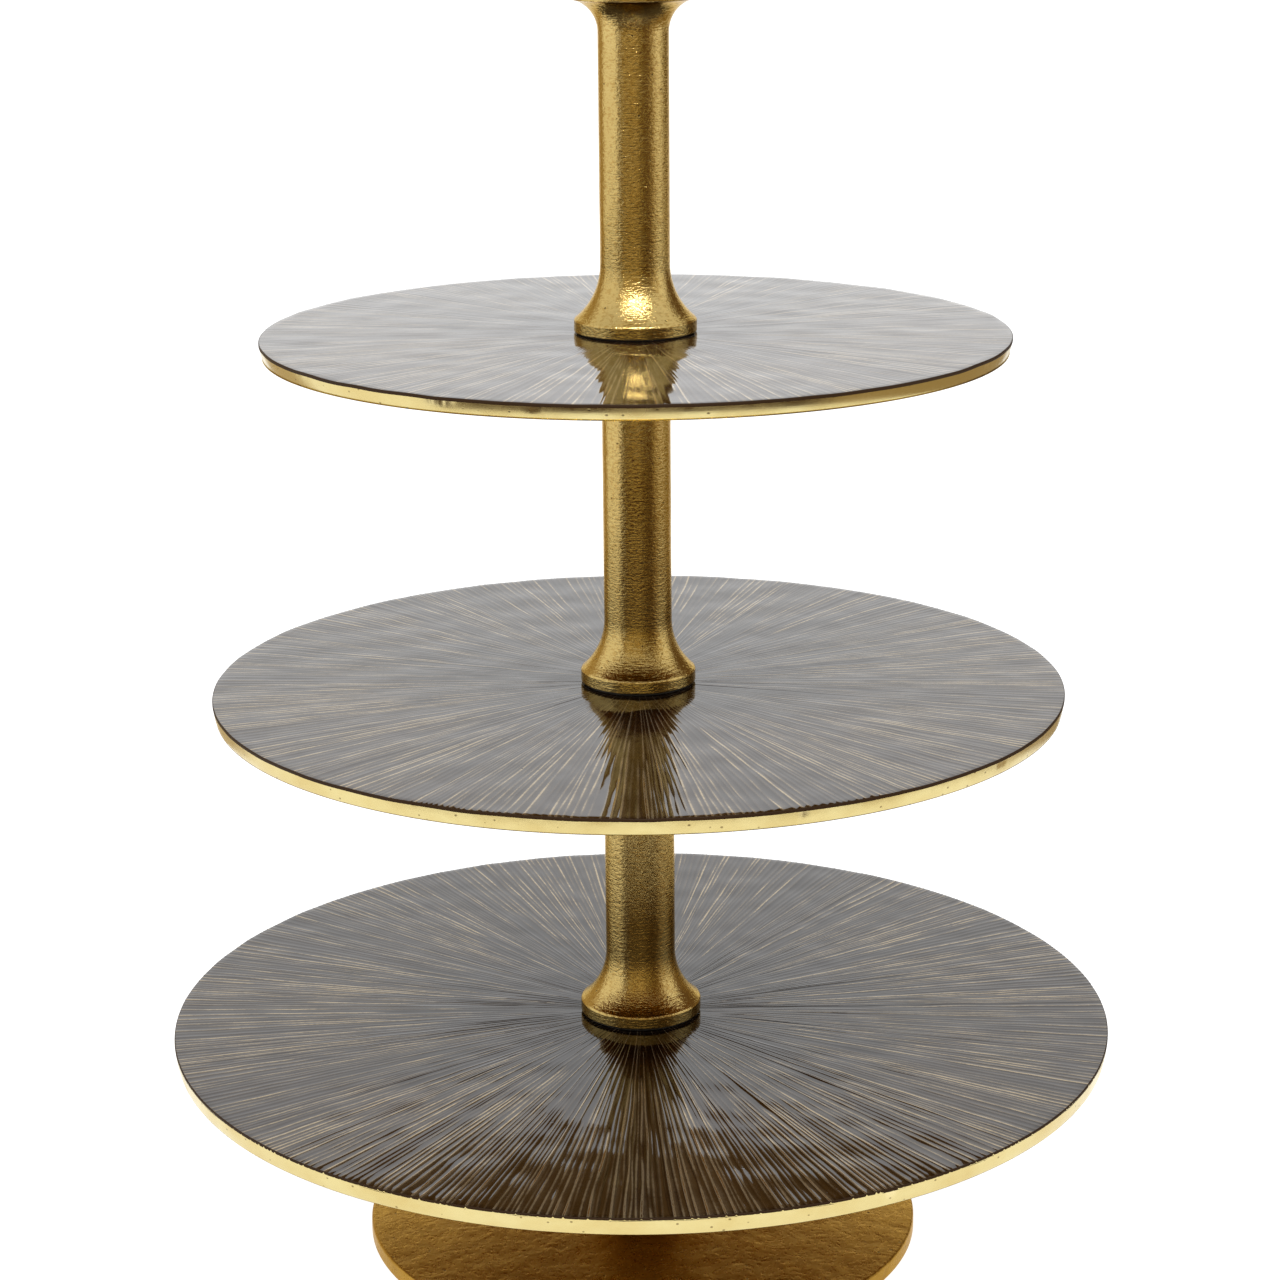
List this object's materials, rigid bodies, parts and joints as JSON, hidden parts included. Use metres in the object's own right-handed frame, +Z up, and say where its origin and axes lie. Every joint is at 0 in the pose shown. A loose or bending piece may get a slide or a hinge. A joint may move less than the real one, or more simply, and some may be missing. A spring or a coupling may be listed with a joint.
{
  "type": "tiered cake stand",
  "caption": "Tall tiered cake stand: round flat trays with ribbed dark enamel tops on turned gold posts that screw together over a heavy round foot.",
  "frame": {"origin": "on the floor under the centre of the stand", "axes": "+Z up along the axis of the posts; +Y towards the back, -Y towards the viewer"},
  "size_m": [0.3999, 0.4, 0.5822],
  "materials": {
    "tray_metal": "polished cast aluminium, brass-gold plated",
    "post_metal": "turned and brushed cast aluminium, antique brass-gold plated",
    "foot_casting": "rough sand-cast aluminium, antique brass-gold plated",
    "tray_enamel": "glossy translucent dark brown resin enamel over cast ridges",
    "gasket": "smooth dark rubber",
    "fastener_steel": "zinc-plated steel",
    "foot_pads": "matte black rubber"
  },
  "bodies": {
    "base": {"foot_disc": "foot_casting", "foot_pads": "foot_pads", "base_bolt": "fastener_steel", "base_washer": "fastener_steel", "column": "post_metal", "tray_1": "tray_metal", "enamel_1": "tray_enamel"},
    "gasket_1_lift": {"gasket_1": "gasket"},
    "tier_2": {"post_1": "post_metal", "stud_1": "fastener_steel", "tray_2": "tray_metal", "enamel_2": "tray_enamel"},
    "gasket_2_lift": {"gasket_2": "gasket"},
    "tier_3": {"post_2": "post_metal", "stud_2": "fastener_steel", "tray_3": "tray_metal", "enamel_3": "tray_enamel"},
    "gasket_3_lift": {"gasket_3": "gasket"},
    "tier_4": {"post_3": "post_metal", "stud_3": "fastener_steel", "tray_4": "tray_metal", "enamel_4": "tray_enamel"},
    "finial_washer_lift": {"finial_washer": "gasket"},
    "finial": {"finial": "post_metal", "finial_stud": "fastener_steel"}
  },
  "joints": [
    {"name": "post_1_rise", "type": "slide", "parent": "base", "child": "gasket_1_lift", "axis": [0, 0, 1], "range_m": [0, 0.012]},
    {"name": "post_1_unscrew", "type": "hinge", "parent": "gasket_1_lift", "child": "tier_2", "pos_m": [0, 0, 0.101], "axis": [0, 0, 1], "range_deg": [0, 3456]},
    {"name": "post_2_rise", "type": "slide", "parent": "tier_2", "child": "gasket_2_lift", "axis": [0, 0, 1], "range_m": [0, 0.012]},
    {"name": "post_2_unscrew", "type": "hinge", "parent": "gasket_2_lift", "child": "tier_3", "pos_m": [0, 0, 0.249], "axis": [0, 0, 1], "range_deg": [0, 3456]},
    {"name": "post_3_rise", "type": "slide", "parent": "tier_3", "child": "gasket_3_lift", "axis": [0, 0, 1], "range_m": [0, 0.012]},
    {"name": "post_3_unscrew", "type": "hinge", "parent": "gasket_3_lift", "child": "tier_4", "pos_m": [0, 0, 0.397], "axis": [0, 0, 1], "range_deg": [0, 3456]},
    {"name": "finial_rise", "type": "slide", "parent": "tier_4", "child": "finial_washer_lift", "axis": [0, 0, 1], "range_m": [0, 0.012]},
    {"name": "finial_unscrew", "type": "hinge", "parent": "finial_washer_lift", "child": "finial", "pos_m": [0, 0, 0.545], "axis": [0, 0, 1], "range_deg": [0, 3456]}
  ],
  "couplings": [
    {"joint": "post_1_rise", "follows": "post_1_unscrew", "m_per_rad": 0.00019894},
    {"joint": "post_2_rise", "follows": "post_2_unscrew", "m_per_rad": 0.00019894},
    {"joint": "post_3_rise", "follows": "post_3_unscrew", "m_per_rad": 0.00019894},
    {"joint": "finial_rise", "follows": "finial_unscrew", "m_per_rad": 0.00019894}
  ]
}
